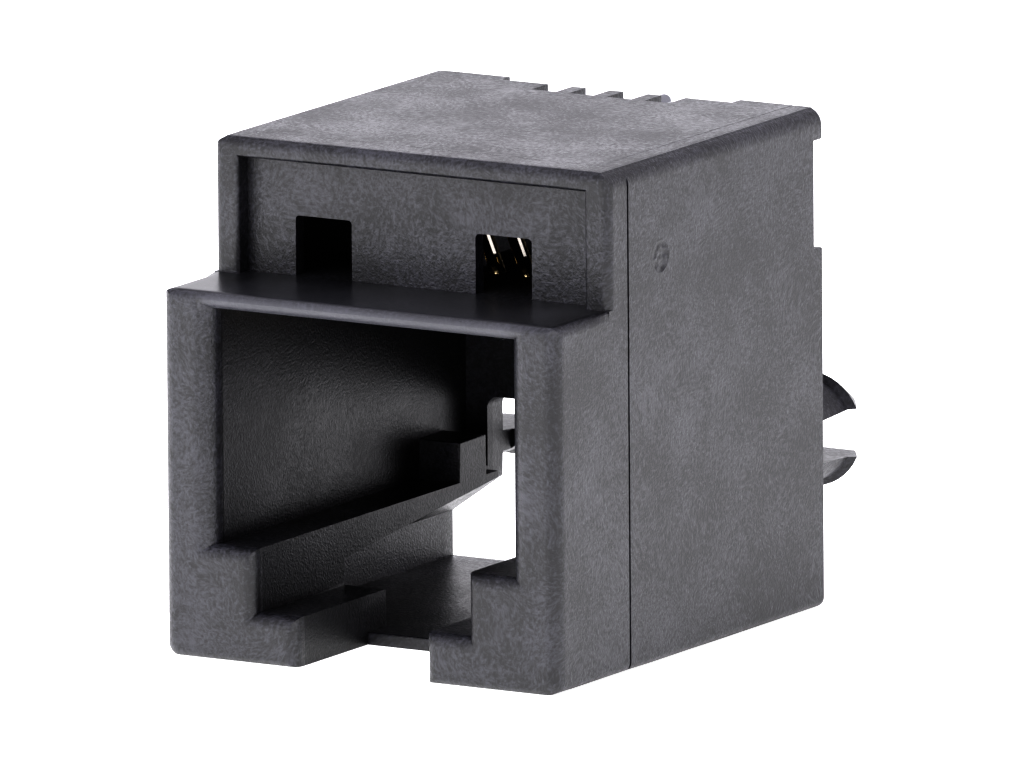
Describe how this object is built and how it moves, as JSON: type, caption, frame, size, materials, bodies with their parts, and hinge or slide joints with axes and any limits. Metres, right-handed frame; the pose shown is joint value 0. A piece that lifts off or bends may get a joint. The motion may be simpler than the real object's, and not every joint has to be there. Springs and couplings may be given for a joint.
{
  "type": "modular jack",
  "caption": "Black moulded board-mount modular jack with a keyed plug opening, latch slot, inspection windows, split board pegs and gold spring contacts with solder tails.",
  "frame": {"origin": "centre of the housing's latch side, on the plane the loose jack lies on, midway between the plug face and the board seating plane", "axes": "+X across the plug to the right as seen from the plug side, +Y from the plug face towards the board, +Z from the latch side to the contact side"},
  "size_m": [0.0132, 0.0186, 0.0147],
  "materials": {
    "housing_plastic": "satin glass-filled polyester, as moulded",
    "contact_metal": "gold-plated phosphor bronze, tinned tails"
  },
  "bodies": {
    "root": {"housing": "housing_plastic", "contact_1": "contact_metal", "contact_2": "contact_metal", "contact_3": "contact_metal", "contact_4": "contact_metal"}
  },
  "joints": []
}
